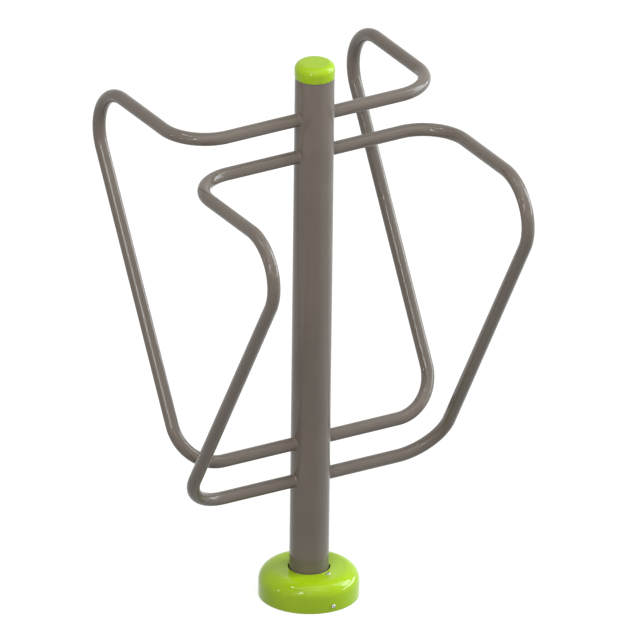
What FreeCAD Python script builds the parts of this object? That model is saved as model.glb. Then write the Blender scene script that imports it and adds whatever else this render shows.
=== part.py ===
import FreeCAD
import Part

import math
import os

from FreeCAD import Vector

# Outdoor push-up bar: a ground-mounted steel post with four bent handle bars at two heights.
# Millimetres, +Z up. The origin is on the ground at the post's axis. +X is to the right along the
# cross runs of the bars, and +Y is to the rear, where the higher pair of handles points.

# Driving dimensions of the post and its foot.
POST_DIAMETER = 88.9
POST_WALL = 3.2
POST_ABOVE_BARS = 98.0
FLANGE_DIAMETER = 200.0
FLANGE_THICKNESS = 10.0
FLANGE_CHAMFER = 1.0
DRAIN_HOLE_DIAMETER = 50.0
ANCHOR_COUNT = 4
ANCHOR_HOLE_DIAMETER = 14.0
ANCHOR_EDGE_DISTANCE = 25.0
FOOT_WELD_LEG = 5.0
GUSSET_THICKNESS = 6.0
GUSSET_TOE = 8.0
GUSSET_HEAD = 8.0
GUSSET_SNIPE = 9.0
GUSSET_RIM_MARGIN = 8.0
GUSSET_HEADROOM = 9.0

# Driving dimensions of the handle bars.
BAR_DIAMETER = 30.0
BAR_WALL = 2.5
BAR_REACH = 327.0
HANDLE_REACH = 460.0
BEND_RADIUS = 103.0
BAR_SPACING = 795.0
FRONT_LOWER_HEIGHT = 284.0
REAR_LIFT = 91.0
BAR_WELD_LEG = 3.0

# Driving dimensions of the plastic cap.
CAP_OVERHANG = 1.0
CAP_HEAD_HEIGHT = 34.0
CAP_EDGE_RADIUS = 16.0
CAP_WALL = 3.0
CAP_SPIGOT_DEPTH = 32.0
CAP_SPIGOT_GAP = 1.2
CAP_RIB_GAP = 0.1
CAP_RIB_COUNT = 3
CAP_RIB_HEIGHT = 3.0

# Driving dimensions of the split cover over the foot.
COVER_HEIGHT = 66.0
COVER_WALL = 3.0
COVER_MARGIN = 9.8
COVER_EDGE_RADIUS = 32.0
COVER_DRAFT = 0.3
COVER_HOLE_GAP = 2.5
COVER_COLLAR_DEPTH = 5.0
COVER_RIB_THICKNESS = 3.0
COVER_RIB_HEIGHT = 26.0
COVER_RIB_ANGLES = (-48.0, 0.0, 48.0)
RIM_CLEARANCE = 0.3
SEAM_OFFSET = 14.0
SEAM_GAP = 0.3
TONGUE_THICKNESS = 2.6
TONGUE_REACH = 40.0
TONGUE_ROOT = 12.0
TONGUE_CLEARANCE = 0.2
TONGUE_FOOT_GAP = 3.0

# Driving dimensions of the cover's screws.
SCREW_DIAMETER = 4.8
SCREW_LENGTH = 14.0
SCREW_HEAD_DIAMETER = 9.5
SCREW_HEAD_HEIGHT = 3.2
SCREW_SOCKET_FLATS = 3.0
SCREW_SOCKET_DEPTH = 1.8
SCREW_HOLE_GAP = 0.3
SCREW_BITE_GAP = 0.05
FRONT_TOP_SCREW_SIDE = 15.0
REAR_TOP_SCREW_SIDE = 6.0
TOP_SCREW_FROM_HOLE = 14.0
SIDE_SCREW_SIDE = -3.0
SIDE_SCREW_HEIGHT = 14.0

# Sizes that follow from the driving dimensions.
post_radius = POST_DIAMETER / 2
post_bore = post_radius - POST_WALL
bar_radius = BAR_DIAMETER / 2
bar_bore = bar_radius - BAR_WALL
flange_radius = FLANGE_DIAMETER / 2
anchor_radius = flange_radius - ANCHOR_EDGE_DISTANCE
bar_lower_heights = {"front": FRONT_LOWER_HEIGHT, "rear": FRONT_LOWER_HEIGHT + REAR_LIFT}
post_top = bar_lower_heights["rear"] + BAR_SPACING + POST_ABOVE_BARS
cover_radius = flange_radius + COVER_MARGIN + COVER_WALL
cover_hole = post_radius + COVER_HOLE_GAP
cover_rib_inner = flange_radius + RIM_CLEARANCE
tongue_depth = COVER_WALL + TONGUE_THICKNESS
gusset_height = COVER_HEIGHT - tongue_depth - GUSSET_HEADROOM - FLANGE_THICKNESS
gusset_end = flange_radius - GUSSET_RIM_MARGIN
top_screw_radius = cover_hole + TOP_SCREW_FROM_HOLE

# Directions and room for cutting tools.
X_AXIS = Vector(1, 0, 0)
Y_AXIS = Vector(0, 1, 0)
Z_AXIS = Vector(0, 0, 1)
ORIGIN = Vector(0, 0, 0)
FULL_TURN = 360.0
HALF_TURN = 180.0
TOOL_MARGIN = 20.0


def polygon(points, plane="XZ"):
    """A flat face through points (across, up), in the XZ plane or in the XY plane."""
    corners = [Vector(a, 0, b) if plane == "XZ" else Vector(a, b, 0) for a, b in points]
    return Part.Face(Part.makePolygon(corners + corners[:1]))


def tube(radius, bore, bottom, top):
    """An upright tube on the post's axis."""
    outer = Part.makeCylinder(radius, top - bottom, Vector(0, 0, bottom))
    inner = Part.makeCylinder(bore, top - bottom, Vector(0, 0, bottom))
    return outer.cut(inner)


def half_turn(shape):
    """A copy turned half a turn about the post's axis."""
    copy = shape.copy()
    copy.rotate(ORIGIN, Z_AXIS, HALF_TURN)
    return copy


def make_post():
    """The upright tube, which stands on the flange."""
    return tube(post_radius, post_bore, FLANGE_THICKNESS, post_top)


def make_base_flange():
    """The round ground plate, with its anchor holes on a circle and a drain hole inside the post."""
    plate = Part.makeCylinder(flange_radius, FLANGE_THICKNESS)
    rims = [e for e in plate.Edges if isinstance(e.Curve, Part.Circle)]
    plate = plate.makeChamfer(FLANGE_CHAMFER, rims)
    plate = plate.cut(Part.makeCylinder(DRAIN_HOLE_DIAMETER / 2, FLANGE_THICKNESS))
    for index in range(ANCHOR_COUNT):
        angle = math.radians(FULL_TURN * (index + 0.5) / ANCHOR_COUNT)
        place = Vector(anchor_radius * math.cos(angle), anchor_radius * math.sin(angle), 0)
        plate = plate.cut(Part.makeCylinder(ANCHOR_HOLE_DIAMETER / 2, FLANGE_THICKNESS, place))
    return plate


def make_foot_weld():
    """The ring of weld between the post and the flange."""
    section = polygon([
        (post_radius, FLANGE_THICKNESS),
        (post_radius + FOOT_WELD_LEG, FLANGE_THICKNESS),
        (post_radius, FLANGE_THICKNESS + FOOT_WELD_LEG),
    ])
    return section.revolve(ORIGIN, Z_AXIS, FULL_TURN)


def make_gusset(angle):
    """One stiffening plate between flange and post, snipped at its inner corner to clear the weld."""
    bottom = FLANGE_THICKNESS
    top = bottom + gusset_height
    inner = post_radius - POST_WALL / 2
    plate = polygon([
        (inner, bottom + GUSSET_SNIPE),
        (post_radius, bottom + GUSSET_SNIPE),
        (post_radius + GUSSET_SNIPE, bottom),
        (gusset_end, bottom),
        (gusset_end, bottom + GUSSET_TOE),
        (post_radius + GUSSET_HEAD, top),
        (inner, top),
    ]).extrude(Y_AXIS * GUSSET_THICKNESS)
    plate.translate(Y_AXIS * (-GUSSET_THICKNESS / 2))
    plate = plate.cut(Part.makeCylinder(post_radius, top))
    plate.rotate(ORIGIN, Z_AXIS, angle)
    return plate


def ring_face(centre, direction, radius, bore):
    """The bar's cross-section: a flat ring square to a direction."""
    outer = Part.Wire(Part.makeCircle(radius, centre, direction))
    inner = Part.Wire(Part.makeCircle(bore, centre, direction))
    return Part.makeFace([outer, inner], "Part::FaceMakerBullseye")


def bent_tube(corners, bend_radius, radius, bore):
    """A tube along straight runs through the corners, with each inner corner bent to one radius."""
    pieces = []
    start = corners[0]
    for before, corner, after in zip(corners, corners[1:], corners[2:]):
        incoming = (corner - before).normalize()
        outgoing = (after - corner).normalize()
        turn = incoming.getAngle(outgoing)
        setback = bend_radius * math.tan(turn / 2)
        bend_start = corner - incoming * setback
        bend_axis = incoming.cross(outgoing).normalize()
        bend_centre = bend_start + bend_axis.cross(incoming) * bend_radius
        pieces.append(ring_face(start, incoming, radius, bore).extrude(bend_start - start))
        bend = ring_face(bend_start, incoming, radius, bore)
        pieces.append(bend.revolve(bend_centre, bend_axis, math.degrees(turn)))
        start = corner + outgoing * setback
    last = (corners[-1] - start).normalize()
    pieces.append(ring_face(start, last, radius, bore).extrude(corners[-1] - start))
    return pieces[0].multiFuse(pieces[1:]).removeSplitter()


def make_bar(side, facing, lower_height):
    """One bent bar: out from the post, along the handle, down the slanted leg and back to the post.

    side is -1 on the left and 1 on the right; facing is 1 to the rear and -1 to the front.
    """
    upper_height = lower_height + BAR_SPACING
    corners = [
        Vector(0, 0, upper_height),
        Vector(side * BAR_REACH, 0, upper_height),
        Vector(side * BAR_REACH, facing * HANDLE_REACH, upper_height),
        Vector(side * BAR_REACH, 0, lower_height),
        Vector(0, 0, lower_height),
    ]
    bar = bent_tube(corners, BEND_RADIUS, bar_radius, bar_bore)
    return bar.cut(Part.makeCylinder(post_radius, post_top))


def make_bar_weld(side, height):
    """The bead of weld round one saddle-cut bar end, flat-faced and as wide on bar as on post."""
    reach = bar_radius + BAR_WELD_LEG + TOOL_MARGIN
    trunk = Part.makeCylinder(post_radius, 2 * reach, Vector(0, 0, -reach))
    branch = Part.makeCylinder(bar_radius, post_radius + reach, ORIGIN, X_AXIS)
    joint = trunk.fuse(branch)
    saddle = []
    for edge in joint.Edges:
        points = edge.discretize(9)
        on_bar = all(abs(math.hypot(p.y, p.z) - bar_radius) < 0.01 for p in points)
        on_post = all(abs(math.hypot(p.x, p.y) - post_radius) < 0.01 for p in points)
        if on_bar and on_post:
            saddle.append(edge)
    weld = joint.makeChamfer(BAR_WELD_LEG, saddle).cut(joint)
    if side < 0:
        weld = half_turn(weld)
    weld.translate(Z_AXIS * height)
    return weld


def make_post_cap():
    """The push-in plastic cap: a rounded hollow head over the rim and a ribbed spigot in the bore."""
    radius = post_radius + CAP_OVERHANG
    top = post_top + CAP_HEAD_HEIGHT
    spigot = post_bore - CAP_SPIGOT_GAP
    inner = spigot - CAP_WALL
    roof = top - CAP_WALL
    shoulder = top - CAP_EDGE_RADIUS
    flat = radius - CAP_EDGE_RADIUS
    diagonal = CAP_EDGE_RADIUS * math.sqrt(0.5)
    edge = Part.Arc(
        Vector(radius, 0, shoulder),
        Vector(flat + diagonal, 0, shoulder + diagonal),
        Vector(flat, 0, top),
    ).toShape()
    straight = [
        Vector(flat, 0, top),
        Vector(0, 0, top),
        Vector(0, 0, roof),
        Vector(min(flat, inner), 0, roof),
        Vector(inner, 0, shoulder),
        Vector(inner, 0, post_top - CAP_SPIGOT_DEPTH),
        Vector(spigot, 0, post_top - CAP_SPIGOT_DEPTH),
        Vector(spigot, 0, post_top),
        Vector(radius, 0, post_top),
        Vector(radius, 0, shoulder),
    ]
    section = Part.Face(Part.Wire([edge] + Part.makePolygon(straight).Edges))
    cap = section.revolve(ORIGIN, Z_AXIS, FULL_TURN)
    pitch = CAP_SPIGOT_DEPTH / (CAP_RIB_COUNT + 1)
    for index in range(CAP_RIB_COUNT):
        middle = post_top - pitch * (index + 1)
        bottom = middle - CAP_RIB_HEIGHT / 2
        top_edge = middle + CAP_RIB_HEIGHT / 2
        cap = cap.fuse(tube(post_bore - CAP_RIB_GAP, inner, bottom, top_edge))
    return cap.removeSplitter()


def cover_layer(outer_depth, inner_depth, hole, bottom):
    """A layer of the cover between two depths under its outer face, revolved about the post's axis."""
    shoulder = COVER_HEIGHT - COVER_EDGE_RADIUS
    flat = cover_radius - COVER_DRAFT - COVER_EDGE_RADIUS

    def rounded_side(depth):
        radius = COVER_EDGE_RADIUS - depth
        diagonal = radius * math.sqrt(0.5)
        foot = Vector(cover_radius - depth, 0, bottom)
        low = Vector(flat + radius, 0, shoulder)
        middle = Vector(flat + diagonal, 0, shoulder + diagonal)
        high = Vector(flat, 0, COVER_HEIGHT - depth)
        end = Vector(hole, 0, COVER_HEIGHT - depth)
        edges = [
            Part.LineSegment(foot, low).toShape(),
            Part.Arc(low, middle, high).toShape(),
            Part.LineSegment(high, end).toShape(),
        ]
        return edges, foot, end

    outer, outer_foot, outer_end = rounded_side(outer_depth)
    inner, inner_foot, inner_end = rounded_side(inner_depth)
    edges = outer + inner
    edges.append(Part.LineSegment(outer_end, inner_end).toShape())
    edges.append(Part.LineSegment(inner_foot, outer_foot).toShape())
    section = Part.Face(Part.Wire(Part.sortEdges(edges)[0]))
    return section.revolve(ORIGIN, Z_AXIS, FULL_TURN)


def slab(left, right, front, rear):
    """A tall upright block, used to keep a part of the cover."""
    low = Vector(left, front, -TOOL_MARGIN)
    return Part.makeBox(right - left, rear - front, COVER_HEIGHT + 2 * TOOL_MARGIN, low)


def make_cover_shell():
    """The whole cover before it is split: the domed skin, its collar at the post and its ribs."""
    shell = cover_layer(0.0, COVER_WALL, cover_hole, 0.0)
    collar_bottom = COVER_HEIGHT - COVER_WALL - COVER_COLLAR_DEPTH
    shell = shell.fuse(tube(cover_hole + COVER_WALL, cover_hole, collar_bottom, COVER_HEIGHT))
    rib_outer = cover_radius - COVER_WALL / 2
    for half in (0.0, HALF_TURN):
        for angle in COVER_RIB_ANGLES:
            length = rib_outer - cover_rib_inner
            low = Vector(cover_rib_inner, -COVER_RIB_THICKNESS / 2, 0)
            rib = Part.makeBox(length, COVER_RIB_THICKNESS, COVER_RIB_HEIGHT, low)
            rib = rib.cut(Part.makeCylinder(cover_rib_inner, COVER_RIB_HEIGHT))
            rib.rotate(ORIGIN, Z_AXIS, half + angle)
            shell = shell.fuse(rib)
    return shell


def make_tongue():
    """The strip on the left half that lies under the right half's edge, at the front seam."""
    seam = -SEAM_OFFSET - SEAM_GAP / 2
    reach = cover_radius + TOOL_MARGIN
    start = cover_hole + COVER_WALL + TONGUE_CLEARANCE
    root = cover_layer(COVER_WALL, tongue_depth, start, TONGUE_FOOT_GAP)
    root = root.common(slab(seam - TONGUE_ROOT, seam, -reach, 0))
    free = cover_layer(COVER_WALL + TONGUE_CLEARANCE, tongue_depth, start, TONGUE_FOOT_GAP)
    free = free.common(slab(seam, seam + TONGUE_REACH, -reach, 0))
    return root.fuse(free)


def seam_screw_places(top_side):
    """Where a seam's two screws sit under their heads and point out, as seen with that seam in front.

    The screws are driven when the halves are on, so the top one may sit elsewhere at each seam.
    """
    top = Vector(top_side, -math.sqrt(top_screw_radius ** 2 - top_side ** 2), COVER_HEIGHT)
    shoulder = COVER_HEIGHT - COVER_EDGE_RADIUS
    radius = cover_radius - COVER_DRAFT * SIDE_SCREW_HEIGHT / shoulder
    angle = math.asin(SIDE_SCREW_SIDE / radius)
    outward = Vector(math.sin(angle), -math.cos(angle), 0)
    side = outward * radius + Z_AXIS * SIDE_SCREW_HEIGHT
    return {"top": (top, Z_AXIS), "side": (side, outward)}


def drill(place, outward, diameter, depth):
    """A round tool for a screw hole that starts just outside the cover."""
    start = place + outward * TOOL_MARGIN
    return Part.makeCylinder(diameter / 2, depth + TOOL_MARGIN, start, outward * -1)


def make_cover_half(tongue_screw_side, edge_screw_side):
    """The left half of the cover: its tongue is at the front seam, and its edge laps at the rear."""
    reach = cover_radius + TOOL_MARGIN
    gap = SEAM_GAP / 2
    shell = make_cover_shell()
    front = shell.common(slab(-reach, -SEAM_OFFSET - gap, -reach, 0))
    rear = shell.common(slab(-reach, SEAM_OFFSET - gap, 0, reach))
    half = front.fuse(rear).fuse(make_tongue())
    for place, outward in seam_screw_places(tongue_screw_side).values():
        half = half.cut(drill(place, outward, SCREW_DIAMETER + 2 * SCREW_BITE_GAP, SCREW_LENGTH))
    for place, outward in seam_screw_places(edge_screw_side).values():
        clear = drill(place, outward, SCREW_DIAMETER + 2 * SCREW_HOLE_GAP, SCREW_LENGTH)
        half = half.cut(half_turn(clear))
    return half.removeSplitter()


def make_screw(place, outward):
    """One button-head screw with a hexagon socket, seated on the cover."""
    radius = SCREW_HEAD_DIAMETER / 2
    head = Part.makeCylinder(radius, SCREW_HEAD_HEIGHT)
    crown = [e for e in head.Edges if isinstance(e.Curve, Part.Circle) and e.Curve.Center.z > 0]
    head = head.makeFillet(SCREW_HEAD_HEIGHT * 0.7, crown)
    corner = SCREW_SOCKET_FLATS / math.sqrt(3)
    angles = [math.radians(FULL_TURN * index / 6) for index in range(6)]
    hexagon = [(corner * math.cos(angle), corner * math.sin(angle)) for angle in angles]
    socket = polygon(hexagon, "XY").extrude(Z_AXIS * SCREW_SOCKET_DEPTH)
    socket.translate(Z_AXIS * (SCREW_HEAD_HEIGHT - SCREW_SOCKET_DEPTH))
    shank = Part.makeCylinder(SCREW_DIAMETER / 2, SCREW_LENGTH, Vector(0, 0, -SCREW_LENGTH))
    screw = head.cut(socket).fuse(shank).removeSplitter()
    screw.Placement = FreeCAD.Placement(place, FreeCAD.Rotation(Z_AXIS, outward))
    return screw


def build():
    """Every sub-part, by its node's name."""
    parts = {
        "post": make_post(),
        "base_flange": make_base_flange(),
        "post_foot_weld": make_foot_weld(),
        "post_cap": make_post_cap(),
    }
    for index, side in enumerate(("right", "rear", "left", "front")):
        parts[f"gusset_{side}"] = make_gusset(FULL_TURN * index / 4)
    for end, facing in (("rear", 1), ("front", -1)):
        lower = bar_lower_heights[end]
        for hand, side in (("left", -1), ("right", 1)):
            parts[f"{end}_{hand}_bar"] = make_bar(side, facing, lower)
            parts[f"weld_{end}_{hand}_lower"] = make_bar_weld(side, lower)
            parts[f"weld_{end}_{hand}_upper"] = make_bar_weld(side, lower + BAR_SPACING)
    parts["base_cover_left"] = make_cover_half(FRONT_TOP_SCREW_SIDE, REAR_TOP_SCREW_SIDE)
    parts["base_cover_right"] = half_turn(make_cover_half(REAR_TOP_SCREW_SIDE, FRONT_TOP_SCREW_SIDE))
    front = seam_screw_places(FRONT_TOP_SCREW_SIDE)
    rear = seam_screw_places(REAR_TOP_SCREW_SIDE)
    for name in ("top", "side"):
        screws = [make_screw(*front[name]), half_turn(make_screw(*rear[name]))]
        parts[f"cover_{name}_screws"] = Part.makeCompound(screws)
    return parts


def main():
    os.makedirs("parts", exist_ok=True)
    for name, shape in build().items():
        shape.exportStep(os.path.join("parts", name + ".step"))
        print(name, "solids", len(shape.Solids), "valid", shape.isValid(), "volume", round(shape.Volume, 1))


main()
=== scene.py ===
# %% [markdown]
# # An outdoor push-up bar
# A steel post stands on a bolted foot, and four bent tubes are welded to it as handles. A lime green
# cap closes the post, and a lime green dome in two halves hides the foot. The CAD model already holds
# every piece at its real size. This lesson keeps those sizes. It gives every piece in sight a smooth
# mesh, every piece a finish, and the whole the light of the picture that it was built from.

# %% Load the frame
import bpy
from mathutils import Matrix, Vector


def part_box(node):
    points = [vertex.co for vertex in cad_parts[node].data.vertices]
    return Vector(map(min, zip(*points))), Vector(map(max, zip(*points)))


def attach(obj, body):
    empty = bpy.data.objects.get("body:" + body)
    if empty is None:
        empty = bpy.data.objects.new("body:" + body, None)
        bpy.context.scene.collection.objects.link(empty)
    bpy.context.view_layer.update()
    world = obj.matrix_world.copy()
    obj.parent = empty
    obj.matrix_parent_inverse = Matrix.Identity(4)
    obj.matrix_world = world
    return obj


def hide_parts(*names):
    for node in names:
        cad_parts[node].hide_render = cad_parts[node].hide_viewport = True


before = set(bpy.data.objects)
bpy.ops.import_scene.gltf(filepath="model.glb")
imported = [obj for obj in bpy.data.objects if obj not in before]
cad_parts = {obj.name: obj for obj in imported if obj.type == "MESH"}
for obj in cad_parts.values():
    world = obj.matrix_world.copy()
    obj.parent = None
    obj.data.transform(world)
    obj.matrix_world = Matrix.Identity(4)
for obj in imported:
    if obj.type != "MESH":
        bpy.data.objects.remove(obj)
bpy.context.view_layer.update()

# %% Modules and units
import math

import bmesh
import bpy
from mathutils import Matrix, Vector

MM = 0.001
FULL_TURN = 2 * math.pi
scene = bpy.context.scene
print("Blender", bpy.app.version_string)

# %% [markdown]
# ## The camera
# The picture has no perspective: lines that are parallel on the object stay parallel in it. A far
# camera with a long lens would come close, but an orthographic one is exact. Its scale is the width of
# the frame in metres. Its direction is given as an angle round the post, a height above the horizon
# and a slight roll.

# %% Camera
VIEW_AZIMUTH = math.radians(-30.686)
VIEW_ELEVATION = math.radians(25.311)
VIEW_ROLL = math.radians(0.675)
FRAME_WIDTH = 1.4203
AIM_ACROSS = 0.02513
AIM_UP = 0.60477
CAMERA_DISTANCE = 6.0
CAMERA_RANGE = 60.0

camera_back = Vector((
    math.sin(VIEW_AZIMUTH) * math.cos(VIEW_ELEVATION),
    -math.cos(VIEW_AZIMUTH) * math.cos(VIEW_ELEVATION),
    math.sin(VIEW_ELEVATION),
))
level_right = Vector((math.cos(VIEW_AZIMUTH), math.sin(VIEW_AZIMUTH), 0.0))
level_up = camera_back.cross(level_right)
camera_right = level_right * math.cos(VIEW_ROLL) + level_up * math.sin(VIEW_ROLL)
camera_up = level_up * math.cos(VIEW_ROLL) - level_right * math.sin(VIEW_ROLL)

camera_data = bpy.data.cameras.new("picture_camera")
camera_data.type = "ORTHO"
camera_data.ortho_scale = FRAME_WIDTH
camera_data.clip_end = CAMERA_RANGE
camera = bpy.data.objects.new("picture_camera", camera_data)
scene.collection.objects.link(camera)
aim = camera_right * AIM_ACROSS + camera_up * AIM_UP
turn = Matrix((camera_right, camera_up, camera_back)).transposed().to_4x4()
camera.matrix_world = Matrix.Translation(aim + camera_back * CAMERA_DISTANCE) @ turn
scene.camera = camera
print("camera looks at", [round(v, 3) for v in aim])

# %% [markdown]
# ## The finishes
# Three finishes cover the whole object: a powder coat on the steel frame, green plastic on the cap and
# the dome, and bare steel on the screws. Pictures wrapped round the pieces could show their grain, but
# they stretch and repeat. Here each pattern is noise on Object coordinates in metres, so its grain has
# a real size and stays put on every piece. A few helpers build these nodes.

# %% Material helpers
NOISE_LOW = 0.3
NOISE_HIGH = 0.7


def new_finish(name):
    """A material with its Principled shader and a node for Object coordinates."""
    material = bpy.data.materials.new(name)
    material.use_nodes = True
    shader = material.node_tree.nodes["Principled BSDF"]
    place = material.node_tree.nodes.new("ShaderNodeTexCoord")
    return material, shader, place.outputs["Object"]


def grain(material, place, size, detail=2.0):
    """Noise whose blotches are about one size across, in metres."""
    noise = material.node_tree.nodes.new("ShaderNodeTexNoise")
    noise.inputs["Scale"].default_value = 1.0 / size
    noise.inputs["Detail"].default_value = detail
    material.node_tree.links.new(place, noise.inputs["Vector"])
    return noise.outputs["Fac"]


def spread(material, value, low=0.0, high=1.0):
    """Maps the middle of a noise's range to a range of values."""
    ramp = material.node_tree.nodes.new("ShaderNodeMapRange")
    ramp.inputs["From Min"].default_value = NOISE_LOW
    ramp.inputs["From Max"].default_value = NOISE_HIGH
    ramp.inputs["To Min"].default_value = low
    ramp.inputs["To Max"].default_value = high
    material.node_tree.links.new(value, ramp.inputs["Value"])
    return ramp.outputs["Result"]

# %% Helpers for tone and relief
def two_tone(material, value, first, second):
    """A colour that drifts between two close tones."""
    mix = material.node_tree.nodes.new("ShaderNodeMix")
    mix.data_type = "RGBA"
    mix.inputs["A"].default_value = (*first, 1.0)
    mix.inputs["B"].default_value = (*second, 1.0)
    material.node_tree.links.new(value, mix.inputs["Factor"])
    return mix.outputs["Result"]


def dimple(material, shader, value, depth, strength):
    """Bump of a real depth, in metres, on the shader's normal."""
    bump = material.node_tree.nodes.new("ShaderNodeBump")
    bump.inputs["Distance"].default_value = depth
    bump.inputs["Strength"].default_value = strength
    material.node_tree.links.new(value, bump.inputs["Height"])
    material.node_tree.links.new(bump.outputs["Normal"], shader.inputs["Normal"])

# %% [markdown]
# ## The powder coat
# The steel frame is sprayed with powder and baked. The powder flows into a glossy warm grey skin with
# faint dimples, which painters call orange peel. One flat grey with an even gloss would do from far
# away, but close up it looks like bare plastic. So the tone drifts a little, the gloss varies, and a
# bump gives the dimples. The index of refraction is low, so that the coat mirrors the white ground
# faintly and its own colour stays strong.

# %% Powder coat on the steel
COAT_LIGHT = (0.177, 0.148, 0.123)
COAT_DARK = (0.163, 0.137, 0.114)
COAT_DRIFT_SIZE = 90.0 * MM
COAT_GLOSS_SIZE = 25.0 * MM
PEEL_SIZE = 2.8 * MM
PEEL_DEPTH = 0.06 * MM
PEEL_STRENGTH = 0.3
GLOSS_INDEX = 1.33
GLOSS_ROUGHNESS = (0.05, 0.08)

coat, shader, place = new_finish("warm_grey_powder_coat")
links = coat.node_tree.links
drift = spread(coat, grain(coat, place, COAT_DRIFT_SIZE))
links.new(two_tone(coat, drift, COAT_LIGHT, COAT_DARK), shader.inputs["Base Color"])
gloss = spread(coat, grain(coat, place, COAT_GLOSS_SIZE), *GLOSS_ROUGHNESS)
links.new(gloss, shader.inputs["Roughness"])
shader.inputs["IOR"].default_value = GLOSS_INDEX
dimple(coat, shader, grain(coat, place, PEEL_SIZE, detail=1.0), PEEL_DEPTH, PEEL_STRENGTH)
print("made", coat.name)

# %% [markdown]
# ## The green plastic
# The cap and the dome are moulded, so their skin is smoother than the coat and has a much finer grain.
# A flat green would look like a drawing. Here the colour and the gloss drift slightly, as they do on a
# real moulding. The index of refraction is the coat's, for the same reason.

# %% Moulded green plastic
LIME_LIGHT = (0.362, 0.556, 0.004)
LIME_DARK = (0.344, 0.528, 0.003)
LIME_DRIFT_SIZE = 50.0 * MM
LIME_GLOSS_SIZE = 12.0 * MM
MOULD_GRAIN_SIZE = 1.2 * MM
MOULD_GRAIN_DEPTH = 0.02 * MM
MOULD_GRAIN_STRENGTH = 0.2

lime, shader, place = new_finish("lime_green_plastic")
links = lime.node_tree.links
drift = spread(lime, grain(lime, place, LIME_DRIFT_SIZE))
links.new(two_tone(lime, drift, LIME_LIGHT, LIME_DARK), shader.inputs["Base Color"])
gloss = spread(lime, grain(lime, place, LIME_GLOSS_SIZE), *GLOSS_ROUGHNESS)
links.new(gloss, shader.inputs["Roughness"])
shader.inputs["IOR"].default_value = GLOSS_INDEX
mould_grain = grain(lime, place, MOULD_GRAIN_SIZE, detail=1.0)
dimple(lime, shader, mould_grain, MOULD_GRAIN_DEPTH, MOULD_GRAIN_STRENGTH)
print("made", lime.name)

# %% [markdown]
# ## The steel of the screws
# The screws are stainless steel, left bare. A plain mirror could stand for it, but a turned head has
# fine marks. One noise drives its colour, roughness and bump, so that the three agree at every mark.

# %% Stainless steel of the screws
STEEL_LIGHT = (0.50, 0.49, 0.475)
STEEL_DARK = (0.38, 0.37, 0.36)
STEEL_ROUGHNESS = (0.22, 0.38)
MARK_SIZE = 0.6 * MM
MARK_DEPTH = 0.03 * MM
MARK_STRENGTH = 0.3

steel, shader, place = new_finish("turned_stainless_steel")
links = steel.node_tree.links
shader.inputs["Metallic"].default_value = 1.0
marks = grain(steel, place, MARK_SIZE, detail=3.0)
links.new(two_tone(steel, marks, STEEL_LIGHT, STEEL_DARK), shader.inputs["Base Color"])
links.new(spread(steel, marks, *STEEL_ROUGHNESS), shader.inputs["Roughness"])
dimple(steel, shader, marks, MARK_DEPTH, MARK_STRENGTH)
print("made", steel.name)

# %% [markdown]
# ## The hidden foot
# The flange, its gussets and its weld sit under the dome, out of sight. They could be remade as smooth
# meshes too, but their CAD meshes are right as they are, so they stay and only get the coat.

# %% Coat on the hidden foot
GUSSETS = [f"gusset_{side}" for side in ("front", "rear", "left", "right")]
FOOT_NODES = ["base_flange", "post_foot_weld", *GUSSETS]

for name in FOOT_NODES:
    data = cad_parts[name].data
    data.materials.clear()
    data.materials.append(coat)
print("coated", len(FOOT_NODES), "hidden nodes")

# %% [markdown]
# ## Small tools for meshes
# Every smooth piece here but the bent bars is a skin over rows of points. A row is one closed loop,
# such as the cross-section of a wall or a ring round an axis. Rows are joined by four-sided faces, and
# the skin either closes on itself, like a ring, or ends in two caps, like a rod. Ready-made cylinders
# would be quicker, but they have no walls, no eased edges and no control over where the faces lie.

# %% Skins over rows of points
SHARP_ANGLE = 40.0


def skin(rows, closed=False):
    """A bmesh over rows of points: every row is a closed loop, and the last row may join the first."""
    mesh = bmesh.new()
    loops = [[mesh.verts.new(point) for point in row] for row in rows]
    pairs = list(zip(loops, loops[1:]))
    if closed:
        pairs.append((loops[-1], loops[0]))
    for near, far in pairs:
        for index in range(len(near)):
            after = (index + 1) % len(near)
            mesh.faces.new((near[index], near[after], far[after], far[index]))
    if not closed:
        mesh.faces.new(loops[0])
        mesh.faces.new(loops[-1])
    bmesh.ops.recalc_face_normals(mesh, faces=mesh.faces)
    return mesh


def piece_from(name, skins, sharp_angle=SHARP_ANGLE):
    """One object from several closed skins, shaded smooth apart from edges sharper than an angle."""
    data = bpy.data.meshes.new(name)
    joined = bmesh.new()
    for part in skins:
        part.to_mesh(data)
        joined.from_mesh(data)
        part.free()
    joined.to_mesh(data)
    joined.free()
    data.shade_smooth()
    data.set_sharp_from_angle(angle=math.radians(sharp_angle))
    piece = bpy.data.objects.new(name, data)
    scene.collection.objects.link(piece)
    return piece

# %% Outlines with rounded corners
SMALL_ROUNDING = 2.0 * MM
FEW_STEPS = 4
MANY_STEPS = 24


def rounded_corner(before, corner, after, radius, steps):
    """Points on the arc that rounds one corner of an outline."""
    to_before = (before - corner).normalized()
    to_after = (after - corner).normalized()
    half = to_before.angle(to_after) / 2
    centre = corner + (to_before + to_after).normalized() * (radius / math.sin(half))
    first = corner + to_before * (radius / math.tan(half)) - centre
    last = corner + to_after * (radius / math.tan(half)) - centre
    sweep = first.angle_signed(last)
    return [centre + Matrix.Rotation(-sweep * n / steps, 2) @ first for n in range(steps + 1)]


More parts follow.
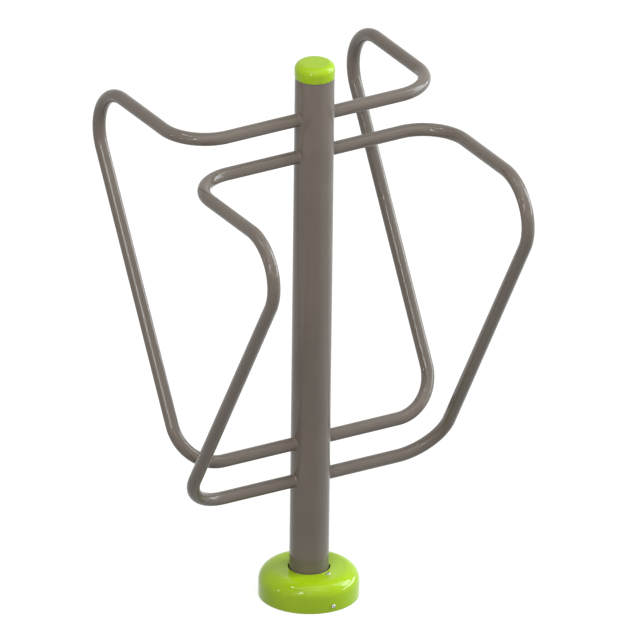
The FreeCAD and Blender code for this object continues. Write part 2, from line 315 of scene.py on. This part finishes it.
def outline(corners, closed=True):
    """An outline (radius, height) through corners given as (radius, height, rounding), in metres."""
    places = [Vector(corner[:2]) for corner in corners]
    points = []
    for index, (corner, rounding) in enumerate(zip(places, [c[2] for c in corners])):
        at_end = not closed and index in (0, len(corners) - 1)
        if at_end or rounding == 0:
            points.append(corner)
            continue
        before = places[index - 1]
        after = places[(index + 1) % len(places)]
        steps = FEW_STEPS if rounding < SMALL_ROUNDING else MANY_STEPS
        points.extend(rounded_corner(before, corner, after, rounding, steps))
    return points


def about_axis(point, angle):
    """A point of an outline, turned round the post's axis."""
    return Vector((point.x * math.cos(angle), point.x * math.sin(angle), point.y))

# %% Finish of a piece
def finish(piece, nodes, material):
    """Gives a piece its finish, fixes it to the frame and says what it stands for."""
    piece.data.materials.clear()
    piece.data.materials.append(material)
    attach(piece, "root")
    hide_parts(*nodes)
    triangles = sum(len(face.vertices) - 2 for face in piece.data.polygons)
    print(piece.name, "stands for", ", ".join(nodes), "with", triangles, "triangles")

# %% [markdown]
# ## The post
# The post is a plain round tube, cut to length from stock. A cylinder would show the same outside, but
# a tube has a bore, and a cut rim is never a knife edge. So its wall is drawn once as a closed outline
# with slightly eased edges and then turned about the axis.

# %% Post
POST_WALL = 3.2 * MM
EASED_EDGE = 0.4 * MM
ROUND_STEPS = 192

post_low, post_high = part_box("post")
post_radius = (post_high.x - post_low.x) / 2
post_bore = post_radius - POST_WALL


def turned(section):
    """A closed outline turned once round the post's axis."""
    angles = [FULL_TURN * step / ROUND_STEPS for step in range(ROUND_STEPS)]
    return skin([[about_axis(point, angle) for point in section] for angle in angles], closed=True)


wall = outline([
    (post_radius, post_low.z, EASED_EDGE),
    (post_radius, post_high.z, EASED_EDGE),
    (post_bore, post_high.z, EASED_EDGE),
    (post_bore, post_low.z, EASED_EDGE),
])
post = piece_from("post_tube", [turned(wall)])
finish(post, ["post"], coat)

# %% [markdown]
# ## The bent handle bars
# On the real bars a straight tube is bent three times on one former, and its two ends are cut to sit
# on the round post. A bevelled curve could draw the tube, but not those ends. The bar follows a rule,
# so Geometry Nodes follow it too: a line through the corners, a fillet of the bend's radius at each
# corner, a round section swept along it, and last the two end rings moved on to the post's surface.

# %% Helpers for node trees
def add_input(tree, name, kind):
    """A named input of a node tree. Its identifier is what a modifier is set by."""
    return tree.interface.new_socket(name, in_out="INPUT", socket_type=kind).identifier


def node(tree, kind, **settings):
    """A node with its properties set."""
    made = tree.nodes.new(kind)
    for name, value in settings.items():
        setattr(made, name, value)
    return made


def sums(tree, operation, first, second=None):
    """A Math node on one or two values, each a socket."""
    made = node(tree, "ShaderNodeMath", operation=operation)
    tree.links.new(first, made.inputs[0])
    if second is not None:
        tree.links.new(second, made.inputs[1])
    return made.outputs[0]

# %% Geometry Nodes for a bent bar
bend_tree = bpy.data.node_groups.new("bent_bar", "GeometryNodeTree")
bend_inputs = {
    "route": add_input(bend_tree, "Route", "NodeSocketGeometry"),
    "bend_radius": add_input(bend_tree, "Bend Radius", "NodeSocketFloat"),
    "bend_steps": add_input(bend_tree, "Bend Steps", "NodeSocketInt"),
    "tube_radius": add_input(bend_tree, "Tube Radius", "NodeSocketFloat"),
    "tube_sides": add_input(bend_tree, "Tube Sides", "NodeSocketInt"),
    "post_radius": add_input(bend_tree, "Post Radius", "NodeSocketFloat"),
    "coat": add_input(bend_tree, "Coat", "NodeSocketMaterial"),
}
bend_tree.interface.new_socket("Bar", in_out="OUTPUT", socket_type="NodeSocketGeometry")
link = bend_tree.links.new
entry = node(bend_tree, "NodeGroupInput").outputs
line = node(bend_tree, "GeometryNodeMeshToCurve")
fillet = node(bend_tree, "GeometryNodeFilletCurve", mode="POLY")
ends = node(bend_tree, "GeometryNodeCurveEndpointSelection")
keep_ends = node(bend_tree, "GeometryNodeCaptureAttribute", domain="POINT")
keep_ends.capture_items.new("BOOLEAN", "End Ring")
section = node(bend_tree, "GeometryNodeCurvePrimitiveCircle")
sweep = node(bend_tree, "GeometryNodeCurveToMesh")
sweep.inputs["Fill Caps"].default_value = True
link(entry["Route"], line.inputs["Mesh"])
link(line.outputs["Curve"], fillet.inputs["Curve"])
link(entry["Bend Radius"], fillet.inputs["Radius"])
link(entry["Bend Steps"], fillet.inputs["Count"])
link(fillet.outputs["Curve"], keep_ends.inputs["Geometry"])
link(ends.outputs["Selection"], keep_ends.inputs["End Ring"])
link(entry["Tube Radius"], section.inputs["Radius"])
link(entry["Tube Sides"], section.inputs["Resolution"])
link(keep_ends.outputs["Geometry"], sweep.inputs["Curve"])
link(section.outputs["Curve"], sweep.inputs["Profile Curve"])
print("bar tree has", len(bend_inputs), "inputs")

# %% Saddle ends and finish of the bar's nodes
spot = node(bend_tree, "ShaderNodeSeparateXYZ")
saddle = node(bend_tree, "ShaderNodeCombineXYZ")
seat = node(bend_tree, "GeometryNodeSetPosition")
smooth = node(bend_tree, "GeometryNodeSetShadeSmooth")
realize = node(bend_tree, "GeometryNodeRealizeInstances")
paint = node(bend_tree, "GeometryNodeSetMaterial")
way_out = node(bend_tree, "NodeGroupOutput")
link(node(bend_tree, "GeometryNodeInputPosition").outputs["Position"], spot.inputs["Vector"])
across_squared = sums(bend_tree, "MULTIPLY", spot.outputs["Y"], spot.outputs["Y"])
post_squared = sums(bend_tree, "MULTIPLY", entry["Post Radius"], entry["Post Radius"])
depth = sums(bend_tree, "SQRT", sums(bend_tree, "SUBTRACT", post_squared, across_squared))
which_side = sums(bend_tree, "SIGN", spot.outputs["X"])
link(sums(bend_tree, "MULTIPLY", which_side, depth), saddle.inputs["X"])
link(spot.outputs["Y"], saddle.inputs["Y"])
link(spot.outputs["Z"], saddle.inputs["Z"])
link(sweep.outputs["Mesh"], seat.inputs["Geometry"])
link(keep_ends.outputs["End Ring"], seat.inputs["Selection"])
link(saddle.outputs["Vector"], seat.inputs["Position"])
link(seat.outputs["Geometry"], smooth.inputs["Geometry"])
link(smooth.outputs["Geometry"], realize.inputs["Geometry"])
link(realize.outputs["Geometry"], paint.inputs["Geometry"])
link(entry["Coat"], paint.inputs["Material"])
link(paint.outputs["Geometry"], way_out.inputs["Bar"])
print("bar tree has", len(bend_tree.nodes), "nodes")

# %% Four bars from one tree
BAR_RADIUS = 15.0 * MM
BEND_RADIUS = 103.0 * MM
HANDLE_REACH = 459.9 * MM
BEND_STEPS = 40
TUBE_SIDES = 72


def plain_mesh(piece, tree, inputs):
    """Runs a tree on a piece once and keeps the result as its mesh."""
    modifier = piece.modifiers.new(tree.name, "NODES")
    modifier.node_group = tree
    for identifier, value in inputs.items():
        modifier[identifier] = value
    graph = bpy.context.evaluated_depsgraph_get()
    result = bpy.data.meshes.new_from_object(piece.evaluated_get(graph))
    piece.modifiers.clear()
    piece.data = result
    result.name = piece.name


def bent_bar(end, hand, facing, side):
    """One bar along the CAD bar's corners, whose reach and heights come from the frame."""
    cad_bar = f"{end}_{hand}_bar"
    low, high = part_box(cad_bar)
    reach = side * (max(abs(low.x), abs(high.x)) - BAR_RADIUS)
    upper, lower = high.z - BAR_RADIUS, low.z + BAR_RADIUS
    corners = [
        (side * post_radius, 0.0, upper),
        (reach, 0.0, upper),
        (reach, facing * HANDLE_REACH, upper),
        (reach, 0.0, lower),
        (side * post_radius, 0.0, lower),
    ]
    data = bpy.data.meshes.new(f"{end}_{hand}_handle")
    data.from_pydata(corners, [(n, n + 1) for n in range(len(corners) - 1)], [])
    bar = bpy.data.objects.new(data.name, data)
    scene.collection.objects.link(bar)
    plain_mesh(bar, bend_tree, {
        bend_inputs["bend_radius"]: BEND_RADIUS,
        bend_inputs["bend_steps"]: BEND_STEPS,
        bend_inputs["tube_radius"]: BAR_RADIUS,
        bend_inputs["tube_sides"]: TUBE_SIDES,
        bend_inputs["post_radius"]: post_radius,
        bend_inputs["coat"]: coat,
    })
    finish(bar, [cad_bar], coat)


for end, facing in (("rear", 1), ("front", -1)):
    for hand, side in (("left", -1), ("right", 1)):
        bent_bar(end, hand, facing, side)

# %% [markdown]
# ## The welds
# Each bar end is welded all round under the coat. A bump in the finish could hint at that, but a bead
# has a body. It follows the saddle line where the two tubes meet, so it is worked out from that line:
# at every step round the bar, a small section reaches from the bar to the post, slightly hollow, with
# the close ripples that a welder's hand leaves.

# %% Weld beads
WELD_LEG = 2.2 * MM
WELD_CROWN = -0.30 * MM
WELD_RIPPLE = 0.07 * MM
WELD_RIPPLES = 34
STEPS_PER_RIPPLE = 6
WELD_STEPS = WELD_RIPPLES * STEPS_PER_RIPPLE
WELD_ROOT = 0.3 * MM
CROWN_POINTS = 7
WELD_SHARP_ANGLE = 80.0


def weld_point(side, height, angle, along, radial):
    """A point near the saddle: along the bar from the post's surface, and out from the bar's axis."""
    across = radial * math.sin(angle)
    reach = math.sqrt(post_radius ** 2 - across ** 2) + along
    return Vector((side * reach, across, height + radial * math.cos(angle)))


def weld_section(side, height, angle):
    """The bead's section at one angle round the bar, from the bar's toe to the post's and the root."""
    crown = WELD_CROWN + WELD_RIPPLE * math.cos(WELD_RIPPLES * angle)
    points = []
    for step in range(CROWN_POINTS):
        share = step / (CROWN_POINTS - 1)
        lift = crown * math.sin(math.pi * share) / math.sqrt(2)
        along = WELD_LEG * (1 - share) + lift
        radial = BAR_RADIUS + WELD_LEG * share + lift
        points.append(weld_point(side, height, angle, along, radial))
    points.append(weld_point(side, height, angle, -WELD_ROOT, BAR_RADIUS + WELD_LEG / 2))
    points.append(weld_point(side, height, angle, -WELD_ROOT, BAR_RADIUS - WELD_ROOT))
    points.append(weld_point(side, height, angle, WELD_LEG / 2, BAR_RADIUS - WELD_ROOT))
    return points


for end in ("rear", "front"):
    for hand, side in (("left", -1), ("right", 1)):
        for level in ("upper", "lower"):
            low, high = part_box(f"weld_{end}_{hand}_{level}")
            height = (low.z + high.z) / 2
            angles = [FULL_TURN * step / WELD_STEPS for step in range(WELD_STEPS)]
            bead = skin([weld_section(side, height, angle) for angle in angles], closed=True)
            piece = piece_from(f"{end}_{hand}_{level}_bead", [bead], WELD_SHARP_ANGLE)
            finish(piece, [f"weld_{end}_{hand}_{level}"], coat)

# %% [markdown]
# ## The cap
# The cap is pushed into the post: a rounded hollow head rests on the rim, and a spigot with three
# gripping ribs holds it in the bore. A rounded block would do for the head, but not for what holds it.
# It is round, so one outline from the middle of its top to the middle of its hollow is turned about
# the axis.

# %% Cap
CAP_EDGE_RADIUS = 16.0 * MM
CAP_WALL = 3.0 * MM
SPIGOT_GAP = 1.2 * MM
RIB_GAP = 0.1 * MM
RIB_HEIGHT = 3.0 * MM
RIB_COUNT = 3
POLE = 0.2 * MM
HEAD_RIM_EASE = 0.6 * MM
RIB_EASE = 0.3 * MM
HOLLOW_WALL_ROUNDING = 3.0 * MM
HOLLOW_TOP_ROUNDING = 2.0 * MM

cap_low, cap_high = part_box("post_cap")
cap_radius = (cap_high.x - cap_low.x) / 2
spigot = post_bore - SPIGOT_GAP
hollow = spigot - CAP_WALL
shoulder = cap_high.z - CAP_EDGE_RADIUS
rib_pitch = (post_high.z - cap_low.z) / (RIB_COUNT + 1)

cap_line = [
    (POLE, cap_high.z, 0.0),
    (cap_radius, cap_high.z, CAP_EDGE_RADIUS),
    (cap_radius, post_high.z, HEAD_RIM_EASE),
    (spigot, post_high.z, 0.0),
]
for index in range(RIB_COUNT):
    middle = post_high.z - rib_pitch * (index + 1)
    cap_line += [
        (spigot, middle + RIB_HEIGHT / 2, 0.0),
        (post_bore - RIB_GAP, middle + RIB_HEIGHT / 2, RIB_EASE),
        (post_bore - RIB_GAP, middle - RIB_HEIGHT / 2, RIB_EASE),
        (spigot, middle - RIB_HEIGHT / 2, 0.0),
    ]
cap_line += [
    (spigot, cap_low.z, EASED_EDGE),
    (hollow, cap_low.z, EASED_EDGE),
    (hollow, shoulder, HOLLOW_WALL_ROUNDING),
    (cap_radius - CAP_EDGE_RADIUS, cap_high.z - CAP_WALL, HOLLOW_TOP_ROUNDING),
    (POLE, cap_high.z - CAP_WALL, 0.0),
]
rings = []
for point in outline(cap_line, closed=False):
    rings.append([about_axis(point, FULL_TURN * step / ROUND_STEPS) for step in range(ROUND_STEPS)])
cap = piece_from("push_in_cap", [skin(rings)])
finish(cap, ["post_cap"], lime)

# %% [markdown]
# ## The dome over the foot
# The dome has to go on after the post is welded, so it is moulded in two equal halves. Each half has a
# tongue that slips under its neighbour, and two screws hold each seam. A whole dome could be sliced
# with a Boolean, but that leaves long thin faces along the cut. Here a half is one wall section swept
# round the post. Its ends are cut straight across and not towards the axis, so every point of the
# section gets its own first and last angle. The seam edges are eased by a smaller last section. The
# right half is the left one, turned half way round the post.

# %% Wall of the dome
DOME_WALL = 3.0 * MM
DOME_EDGE_RADIUS = 32.0 * MM
DOME_DRAFT = 0.58 * MM
HOLE_GAP = 2.5 * MM
HOLE_ROUNDING = 0.8 * MM
COLLAR_DEPTH = 5.0 * MM
COLLAR_ROUNDING = 1.0 * MM

dome_low, dome_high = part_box("base_cover_left")
dome_radius = -dome_low.x
dome_top = dome_high.z
dome_hole = post_radius + HOLE_GAP
collar_foot = dome_top - DOME_WALL - COLLAR_DEPTH
wall = outline([
    (dome_radius, 0.0, EASED_EDGE),
    (dome_radius - DOME_DRAFT, dome_top, DOME_EDGE_RADIUS),
    (dome_hole, dome_top, HOLE_ROUNDING),
    (dome_hole, collar_foot, EASED_EDGE),
    (dome_hole + DOME_WALL, collar_foot, EASED_EDGE),
    (dome_hole + DOME_WALL, dome_top - DOME_WALL, COLLAR_ROUNDING),
    (dome_radius - DOME_WALL - DOME_DRAFT, dome_top - DOME_WALL, DOME_EDGE_RADIUS - DOME_WALL),
    (dome_radius - DOME_WALL, 0.0, EASED_EDGE),
])
print("dome wall outline has", len(wall), "points")

# %% Wall of the left half
SEAM_OFFSET = 14.0 * MM
SEAM_GAP = 0.06 * MM
SEAM_EASE = 0.08 * MM
HALF_STEPS = 132


def drawn_in(section, depth):
    """A section made smaller all round by a depth."""
    smaller = []
    for index, point in enumerate(section):
        along = section[(index + 1) % len(section)] - section[index - 1]
        inward = Vector((-along.y, along.x)).normalized()
        smaller.append(point + inward * depth)
    return smaller


def half_row(section, share, inset):
    """A section at a share of the way round the left half, from the rear seam to the front seam."""
    row = []
    gap = SEAM_GAP / 2 + inset
    for point in section:
        first = math.acos((SEAM_OFFSET - gap) / point.x)
        last = FULL_TURN - math.acos((-SEAM_OFFSET - gap) / point.x)
        row.append(about_axis(point, first + (last - first) * share))
    return row


def left_wall():
    """The wall of the left half, with eased seam edges."""
    rows = [half_row(drawn_in(wall, SEAM_EASE), 0.0, 0.0)]
    rows += [half_row(wall, step / HALF_STEPS, SEAM_EASE) for step in range(HALF_STEPS + 1)]
    rows.append(half_row(drawn_in(wall, SEAM_EASE), 1.0, 0.0))
    return skin(rows)

# %% Tongue and ribs of the left half
TONGUE_THICKNESS = 2.6 * MM
TONGUE_REACH = 40.0 * MM
TONGUE_ROOT = 12.0 * MM
TONGUE_CLEARANCE = 0.2 * MM
TONGUE_FOOT_GAP = 3.0 * MM
TONGUE_STEPS = 26
RIB_THICKNESS = 3.0 * MM
RIB_TOP = 26.0 * MM
RIM_CLEARANCE = 0.3 * MM


def dome_section(depth_out, depth_in, hole, foot):
    """The closed section of a layer of the dome, between two depths under its outer face."""
    outer, inner = dome_radius - depth_out, dome_radius - depth_in
    return outline([
        (outer, foot, EASED_EDGE),
        (outer - DOME_DRAFT, dome_top - depth_out, DOME_EDGE_RADIUS - depth_out),
        (hole, dome_top - depth_out, EASED_EDGE),
        (hole, dome_top - depth_in, EASED_EDGE),
        (inner - DOME_DRAFT, dome_top - depth_in, DOME_EDGE_RADIUS - depth_in),
        (inner, foot, EASED_EDGE),
    ])


def left_tongue():
    """The strip under the neighbour's edge at the front seam."""
    start = -SEAM_OFFSET - TONGUE_ROOT
    length = TONGUE_ROOT + TONGUE_REACH
    deep = DOME_WALL + TONGUE_THICKNESS
    hole = dome_hole + DOME_WALL + TONGUE_CLEARANCE
    rooted = dome_section(DOME_WALL - TONGUE_CLEARANCE, deep, hole, TONGUE_FOOT_GAP)
    free = dome_section(DOME_WALL + TONGUE_CLEARANCE, deep, hole, TONGUE_FOOT_GAP)
    rows = []
    for step in range(TONGUE_STEPS + 1):
        across = start + length * step / TONGUE_STEPS
        strip = rooted if across < -SEAM_OFFSET else free
        rows.append([Vector((across, -math.sqrt(p.x ** 2 - across ** 2), p.y)) for p in strip])
    return skin(rows)


def left_rib(angle):
    """A locating rib inside the wall, which stops just short of the flange's rim."""
    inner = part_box("base_flange")[1].x + RIM_CLEARANCE
    outer = dome_radius - DOME_WALL / 2
    turn = Matrix.Rotation(math.pi + math.radians(angle), 3, "Z")
    rows = []
    for across in (-RIB_THICKNESS / 2, RIB_THICKNESS / 2):
        face = [(inner, 0.0), (outer, 0.0), (outer, RIB_TOP), (inner, RIB_TOP)]
        rows.append([turn @ Vector((reach, across, height)) for reach, height in face])
    return skin(rows)

# %% Both halves of the dome
RIB_ANGLES = (-48.0, 0.0, 48.0)

for hand in ("left", "right"):
    skins = [left_wall(), left_tongue()] + [left_rib(angle) for angle in RIB_ANGLES]
    half = piece_from(f"{hand}_dome_half", skins)
    if hand == "right":
        half.data.transform(Matrix.Rotation(math.pi, 4, "Z"))
    finish(half, [f"base_cover_{hand}"], lime)

# %% [markdown]
# ## The screws
# Four small button-head screws hold the dome's seams, a top one and a side one at the front and the
# same at the rear. They could be set by hand, but they are all one shape, so it is made once and
# Geometry Nodes place a copy at each point, turned to the way that the point's own arrow shows.

# %% One screw
SCREW_RADIUS = 2.4 * MM
SCREW_LENGTH = 14.0 * MM
HEAD_RADIUS = 4.75 * MM
HEAD_HEIGHT = 3.2 * MM
SOCKET_FLATS = 3.0 * MM
SOCKET_DEPTH = 1.8 * MM
SOCKET_CHAMFER = 0.2 * MM
HEAD_EASE = 0.2 * MM
HEAD_ROUND_SHARE = 0.7
SOCKET_RIM_SHARE = 0.68
TIP_SHARE = 0.7
SCREW_STEPS = 48
SCREW_SHARP_ANGLE = 30.0


def hexagon(angle):
    """The distance from the middle of the socket to its wall."""
    sixth = math.pi / 3
    return SOCKET_FLATS / 2 / math.cos(angle % sixth - sixth / 2)


def ring(radius, height):
    """A ring of the screw: its radius is a size, or a rule that gives one for each angle."""
    points = []
    for step in range(SCREW_STEPS):
        angle = FULL_TURN * step / SCREW_STEPS
        size = radius(angle) if callable(radius) else radius
        points.append(Vector((size * math.cos(angle), size * math.sin(angle), height)))
    return points


head = outline([
    (SCREW_RADIUS, 0.0, 0.0),
    (HEAD_RADIUS, 0.0, HEAD_EASE),
    (HEAD_RADIUS, HEAD_HEIGHT, HEAD_HEIGHT * HEAD_ROUND_SHARE),
    (SOCKET_FLATS * SOCKET_RIM_SHARE, HEAD_HEIGHT, 0.0),
], closed=False)
rows = [ring(SCREW_RADIUS * TIP_SHARE, -SCREW_LENGTH), ring(SCREW_RADIUS, SCREW_RADIUS - SCREW_LENGTH)]
rows += [ring(point.x, point.y) for point in head]
rows += [ring(hexagon, HEAD_HEIGHT - SOCKET_CHAMFER), ring(hexagon, HEAD_HEIGHT - SOCKET_DEPTH)]
screw = piece_from("one_screw", [skin(rows)], SCREW_SHARP_ANGLE)
print("one screw has", len(screw.data.polygons), "faces")

# %% Geometry Nodes that place the screws
screw_tree = bpy.data.node_groups.new("placed_screws", "GeometryNodeTree")
screw_inputs = {
    "points": add_input(screw_tree, "Points", "NodeSocketGeometry"),
    "screw": add_input(screw_tree, "Screw", "NodeSocketObject"),
    "steel": add_input(screw_tree, "Steel", "NodeSocketMaterial"),
}
screw_tree.interface.new_socket("Screws", in_out="OUTPUT", socket_type="NodeSocketGeometry")
link = screw_tree.links.new
entry = node(screw_tree, "NodeGroupInput").outputs
shape = node(screw_tree, "GeometryNodeObjectInfo")
arrow = node(screw_tree, "GeometryNodeInputNamedAttribute", data_type="FLOAT_VECTOR")
arrow.inputs["Name"].default_value = "outward"
aim_screw = node(screw_tree, "FunctionNodeAlignRotationToVector", axis="Z")
copies = node(screw_tree, "GeometryNodeInstanceOnPoints")
realize = node(screw_tree, "GeometryNodeRealizeInstances")
paint = node(screw_tree, "GeometryNodeSetMaterial")
way_out = node(screw_tree, "NodeGroupOutput")
link(entry["Screw"], shape.inputs["Object"])
link(entry["Points"], copies.inputs["Points"])
link(shape.outputs["Geometry"], copies.inputs["Instance"])
link(arrow.outputs["Attribute"], aim_screw.inputs["Vector"])
link(aim_screw.outputs["Rotation"], copies.inputs["Rotation"])
link(copies.outputs["Instances"], realize.inputs["Geometry"])
link(realize.outputs["Geometry"], paint.inputs["Geometry"])
link(entry["Steel"], paint.inputs["Material"])
link(paint.outputs["Geometry"], way_out.inputs["Screws"])
print("screw tree has", len(screw_tree.nodes), "nodes")

# %% Screws at their seams
FRONT_TOP_SCREW_SIDE = 15.0 * MM
REAR_TOP_SCREW_SIDE = 6.0 * MM
TOP_SCREW_FROM_HOLE = 14.0 * MM
SIDE_SCREW_SIDE = -3.0 * MM
SIDE_SCREW_HEIGHT = 14.0 * MM

half_turn = Matrix.Rotation(math.pi, 3, "Z")
upward = Vector((0.0, 0.0, 1.0))
top_reach = dome_hole + TOP_SCREW_FROM_HOLE
side_reach = math.hypot(SIDE_SCREW_SIDE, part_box("cover_side_screws")[1].y) - HEAD_HEIGHT


def at_seam(reach, side, height):
    """A place at the front seam: so far from the axis, so far to the side, at a height."""
    return Vector((side, -math.sqrt(reach ** 2 - side ** 2), height))


front_top = at_seam(top_reach, FRONT_TOP_SCREW_SIDE, dome_top)
rear_top = half_turn @ at_seam(top_reach, REAR_TOP_SCREW_SIDE, dome_top)
front_side = at_seam(side_reach, SIDE_SCREW_SIDE, SIDE_SCREW_HEIGHT)
side_arrow = at_seam(side_reach, SIDE_SCREW_SIDE, 0.0).normalized()
screw_places = {
    "top": [(front_top, upward), (rear_top, upward)],
    "side": [(front_side, side_arrow), (half_turn @ front_side, half_turn @ side_arrow)],
}

for name, places in screw_places.items():
    data = bpy.data.meshes.new(f"{name}_seam_screws")
    data.from_pydata([place for place, way in places], [], [])
    outward = data.attributes.new("outward", "FLOAT_VECTOR", "POINT")
    for index, (place, way) in enumerate(places):
        outward.data[index].vector = way
    piece = bpy.data.objects.new(data.name, data)
    scene.collection.objects.link(piece)
    plain_mesh(piece, screw_tree, {screw_inputs["screw"]: screw, screw_inputs["steel"]: steel})
    finish(piece, [f"cover_{name}_screws"], steel)
bpy.data.objects.remove(screw)

# %% [markdown]
# ## The white ground
# The picture has a plain white ground, and a glossy skin shows the ground that it stands on. Strong
# light could make a floor white, but it would bleach the object too. So the floor and the world are
# white only to a ray from the camera, to one that glances off something glossy and to one that goes
# through glass. The rays that gather soft light meet a grey floor and a dim room instead, and the
# floor keeps its shadow.

# %% Rays that see the white ground
WHITE = (1.0, 1.0, 1.0, 1.0)


def sees_ground(tree):
    """1 for a ray from the camera, off something glossy or through glass, and 0 for the others."""
    rays = node(tree, "ShaderNodeLightPath").outputs
    seen = sums(tree, "MAXIMUM", rays["Is Camera Ray"], rays["Is Glossy Ray"])
    return sums(tree, "MAXIMUM", seen, rays["Is Transmission Ray"])

# %% Room
ROOM_LIGHT = 0.1

world = bpy.data.worlds.new("room")
world.use_nodes = True
scene.world = world
tree = world.node_tree
tree.nodes.clear()
dim = node(tree, "ShaderNodeBackground")
dim.inputs["Color"].default_value = WHITE
dim.inputs["Strength"].default_value = ROOM_LIGHT
white = node(tree, "ShaderNodeBackground")
white.inputs["Color"].default_value = WHITE
choice = node(tree, "ShaderNodeMixShader")
way_out = node(tree, "ShaderNodeOutputWorld")
tree.links.new(sees_ground(tree), choice.inputs["Fac"])
tree.links.new(dim.outputs["Background"], choice.inputs[1])
tree.links.new(white.outputs["Background"], choice.inputs[2])
tree.links.new(choice.outputs["Shader"], way_out.inputs["Surface"])
print("room light", ROOM_LIGHT)

# %% Finish of the floor
FLOOR_COLOUR = (0.2, 0.2, 0.2, 1.0)
FLOOR_GLOW = 0.87

floor_finish = bpy.data.materials.new("pale_floor")
floor_finish.use_nodes = True
tree = floor_finish.node_tree
tree.nodes.clear()
shown = node(tree, "ShaderNodeMath", operation="MULTIPLY")
shown.inputs[1].default_value = FLOOR_GLOW
glow = node(tree, "ShaderNodeEmission")
matt = node(tree, "ShaderNodeBsdfDiffuse")
matt.inputs["Color"].default_value = FLOOR_COLOUR
both = node(tree, "ShaderNodeAddShader")
way_out = node(tree, "ShaderNodeOutputMaterial")
tree.links.new(sees_ground(tree), shown.inputs[0])
tree.links.new(shown.outputs[0], glow.inputs["Strength"])
tree.links.new(matt.outputs["BSDF"], both.inputs[0])
tree.links.new(glow.outputs["Emission"], both.inputs[1])
tree.links.new(both.outputs["Shader"], way_out.inputs["Surface"])
print("made", floor_finish.name)

# %% Floor
FLOOR_SIZE = 60.0
FLOOR_DROP = 0.5 * MM

edge = FLOOR_SIZE / 2
corners = [(-edge, -edge), (edge, -edge), (edge, edge), (-edge, edge)]
floor_data = bpy.data.meshes.new("floor")
floor_data.from_pydata([(x, y, -FLOOR_DROP) for x, y in corners], [], [(0, 1, 2, 3)])
floor_data.materials.append(floor_finish)
floor = bpy.data.objects.new("floor", floor_data)
scene.collection.objects.link(floor)
print("floor", FLOOR_SIZE, "m wide")

# %% [markdown]
# ## The lamps
# The bright streaks on the coat are mirror images of windows and lamps. One large lamp could light the
# whole object, but it draws no thin streaks. So there are large cool windows to the right, wide panels
# in front, and small lamps to the left, which draw the streaks along the bars and the flecks in their
# bends. Two wide panels behind light the far side. They are left out of the gloss, which shows the
# white ground there. All lamps are equally far off, so each is given by its direction and its angles.

# %% One lamp
LIGHT_CENTRE = Vector((0.0, 0.0, 0.65))
LIGHT_DISTANCE = 9.0
PLAIN = (1.0, 1.0, 1.0)


def towards(bearing, height):
    """A direction from a bearing (from +Y towards +X) and a height over the horizon, in degrees."""
    around, above = math.radians(bearing), math.radians(height)
    level = Vector((math.sin(around), math.cos(around), 0.0)) * math.cos(above)
    return level + Vector((0.0, 0.0, math.sin(above)))


def lamp(name, bearing, height, width, tall, brightness, tint=PLAIN, in_gloss=True):
    """An oval area light that spans two angles, in degrees. Its face is as bright at any size."""
    way = towards(bearing, height)
    data = bpy.data.lights.new(name, "AREA")
    data.shape = "ELLIPSE"
    data.color = tint
    data.size = 2 * LIGHT_DISTANCE * math.tan(math.radians(width) / 2)
    data.size_y = 2 * LIGHT_DISTANCE * math.tan(math.radians(tall) / 2)
    area = math.pi / 4 * data.size * data.size_y
    data.energy = brightness * math.pi * area
    light = bpy.data.objects.new(name, data)
    light.location = LIGHT_CENTRE + way * LIGHT_DISTANCE
    light.rotation_mode = "QUATERNION"
    light.rotation_quaternion = way.to_track_quat("Z", "Y")
    light.visible_camera = False
    light.visible_glossy = in_gloss
    scene.collection.objects.link(light)
    print(name, "at", [round(v, 2) for v in light.location], "with", round(data.energy), "watts")

# %% Windows, panels and small lamps
COOL = (0.92, 1.02, 1.08)
WARM = (1.30, 0.94, 0.68)

lamp("low_window", bearing=105, height=6, width=60, tall=12, brightness=8.6, tint=COOL)
lamp("window", bearing=105, height=25, width=30, tall=20, brightness=10.2, tint=COOL)
lamp("high_window", bearing=105, height=45, width=30, tall=25, brightness=3.8, tint=COOL)
lamp("low_front_panel", bearing=-165, height=14, width=60, tall=14, brightness=1.0, tint=WARM)
lamp("front_panel", bearing=-165, height=45, width=60, tall=25, brightness=1.35)
lamp("high_front_panel", bearing=180, height=70, width=60, tall=35, brightness=1.6)
lamp("left_panel", bearing=-150, height=25, width=15, tall=20, brightness=1.5)
lamp("low_left_panel", bearing=-120, height=14, width=15, tall=14, brightness=4.2)
lamp("left_lamp", bearing=-130, height=22, width=9, tall=12, brightness=15)
lamp("beside_left_lamp", bearing=-135, height=26, width=4, tall=6, brightness=22)
lamp("upper_left_lamp", bearing=-130, height=36, width=4, tall=5, brightness=26)
lamp("low_left_lamp", bearing=-102, height=2.5, width=4, tall=5, brightness=18)
lamp("low_far_left_lamp", bearing=-79, height=5, width=4, tall=8, brightness=18)
lamp("high_left_lamp", bearing=-107, height=61, width=8, tall=6, brightness=22)
lamp("high_far_left_lamp", bearing=-89, height=60, width=8, tall=5, brightness=20)
lamp("high_back_lamp", bearing=-76, height=63, width=6, tall=5, brightness=18)
lamp("back_panel", bearing=40, height=6, width=60, tall=12, brightness=8.0, in_gloss=False)
lamp("back_left_panel", bearing=-10, height=6, width=40, tall=12, brightness=5.5, in_gloss=False)

# %% [markdown]
# ## Last settings
# Colours are shown as they are, with no film look.

# %% Colour view
scene.view_settings.view_transform = "Standard"
